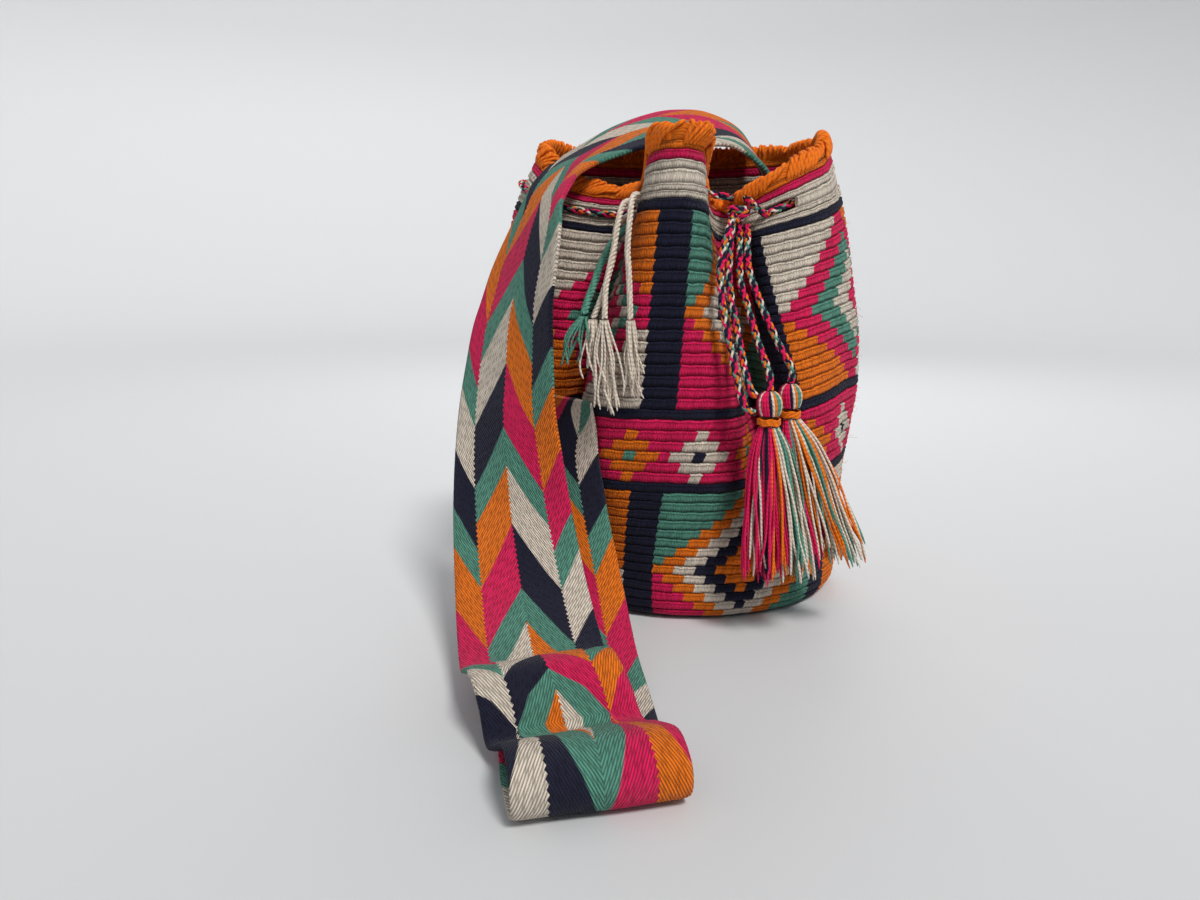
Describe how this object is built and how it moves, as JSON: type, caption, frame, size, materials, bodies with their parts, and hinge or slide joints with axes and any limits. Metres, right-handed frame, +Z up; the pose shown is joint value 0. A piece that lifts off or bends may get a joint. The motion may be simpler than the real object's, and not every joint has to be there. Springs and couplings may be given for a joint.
{
  "type": "drawstring shoulder bag",
  "caption": "Crocheted cylinder bag with a flattened scalloped mouth, a braided drawstring with tassels and a wide woven shoulder strap laid down in front.",
  "frame": {"origin": "middle of the round base, on the surface it stands on", "axes": "+Z up, the side with the drawstring knot and tassels faces -Y, +X to the right of someone looking at that side"},
  "size_m": [0.2795, 0.4524, 0.3464],
  "materials": {
    "crochet_wall": "matte crocheted cotton in navy, pink, orange, cream and green",
    "woven_band": "matte woven cotton with chevron stripes",
    "braid": "matte multicolour braided cotton",
    "fringe_yarn": "matte loose cotton yarn in five colours",
    "orange_yarn": "matte orange cotton",
    "cream_yarn": "matte plied cream cotton",
    "green_yarn": "matte plied green cotton"
  },
  "bodies": {
    "root": {"bag_body": "crochet_wall", "strap": "woven_band", "drawstring": "braid", "drawstring_knot": "braid", "drawstring_tail_1": "braid", "drawstring_tail_2": "braid", "drawstring_tail_3": "braid", "drawstring_tail_4": "braid", "tassel_head_left": "fringe_yarn", "tassel_head_right": "fringe_yarn", "tassel_binding_left": "orange_yarn", "tassel_binding_right": "orange_yarn", "tassel_skirt_left": "fringe_yarn", "tassel_skirt_right": "fringe_yarn", "tie_cream_1": "cream_yarn", "tie_cream_2": "cream_yarn", "tie_cream_3": "cream_yarn", "tie_fray_cream_1": "cream_yarn", "tie_fray_cream_2": "cream_yarn", "tie_fray_cream_3": "cream_yarn", "tie_green": "green_yarn", "tie_knot_green": "green_yarn"}
  },
  "joints": []
}
